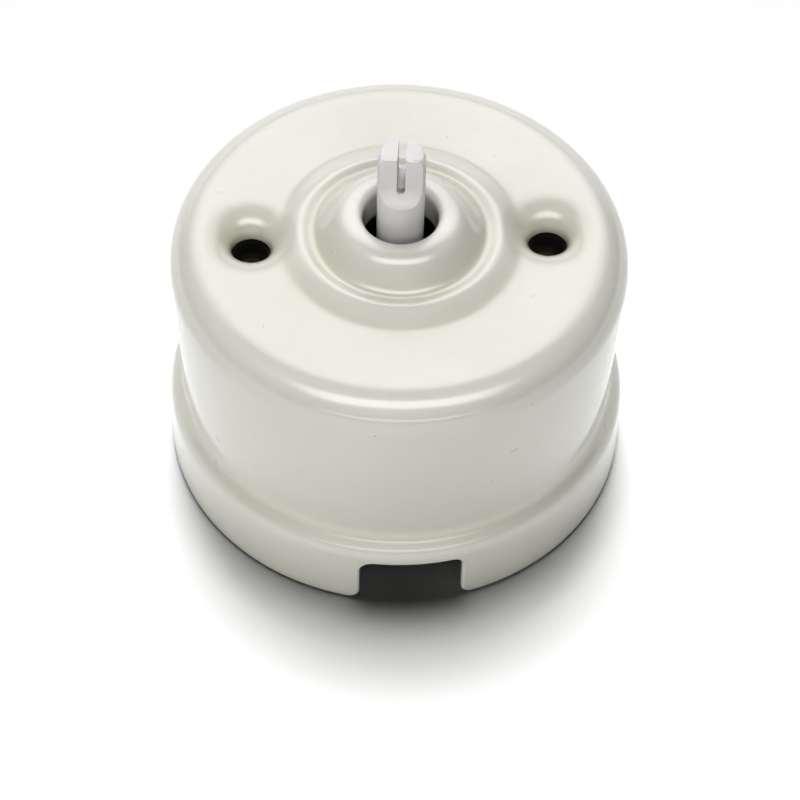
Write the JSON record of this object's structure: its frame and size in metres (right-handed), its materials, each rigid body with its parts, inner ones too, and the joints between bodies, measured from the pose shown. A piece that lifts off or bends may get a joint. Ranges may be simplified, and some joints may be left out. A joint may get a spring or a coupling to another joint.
{
  "type": "porcelain rotary switch",
  "caption": "Surface-mounted rotary light switch: glazed porcelain cover with stepped flange, screw holes, cable notch and a slotted D-shaped spindle that clicks round.",
  "frame": {"origin": "centre of the wall side, on the spindle's axis", "axes": "+Z out of the wall along the spindle, -Y towards the cable notch, screw holes on X"},
  "size_m": [0.065, 0.065, 0.055],
  "materials": {
    "glazed_porcelain": "gloss glaze",
    "black_phenolic": "moulded satin",
    "brown_phenolic": "moulded satin",
    "white_plastic": "moulded matt",
    "fibre_sheet": "pressed fibre",
    "brass": "machined",
    "spring_bronze": "rolled strip",
    "silver": "bright contact metal",
    "plated_steel": "zinc plated"
  },
  "bodies": {
    "switch_body": {"porcelain_cover": "glazed_porcelain", "mounting_base": "black_phenolic", "detent_housing": "black_phenolic", "rear_insulator": "fibre_sheet", "pillar_inserts": "brass", "thrust_washer": "fibre_sheet", "detent_spring_front": "spring_bronze", "detent_spring_rear": "spring_bronze", "contact_finger_first_way": "spring_bronze", "contact_finger_second_way": "spring_bronze", "contact_finger_common": "spring_bronze", "contact_tips": "silver", "terminal_first_way": "brass", "terminal_second_way": "brass", "terminal_common": "brass", "terminal_screws": "plated_steel", "terminal_fixing_screws": "plated_steel", "housing_fixing_screws": "plated_steel"},
    "rotor": {"spindle": "white_plastic", "contact_drum": "brown_phenolic", "contact_sleeve": "brass", "detent_cam": "white_plastic"}
  },
  "joints": [
    {"name": "spindle_turn", "type": "hinge", "parent": "switch_body", "child": "rotor", "pos_m": [0, 0, 0.02], "axis": [0, 0, 1], "continuous": true, "deforming": ["detent_spring_front", "detent_spring_rear"]}
  ]
}
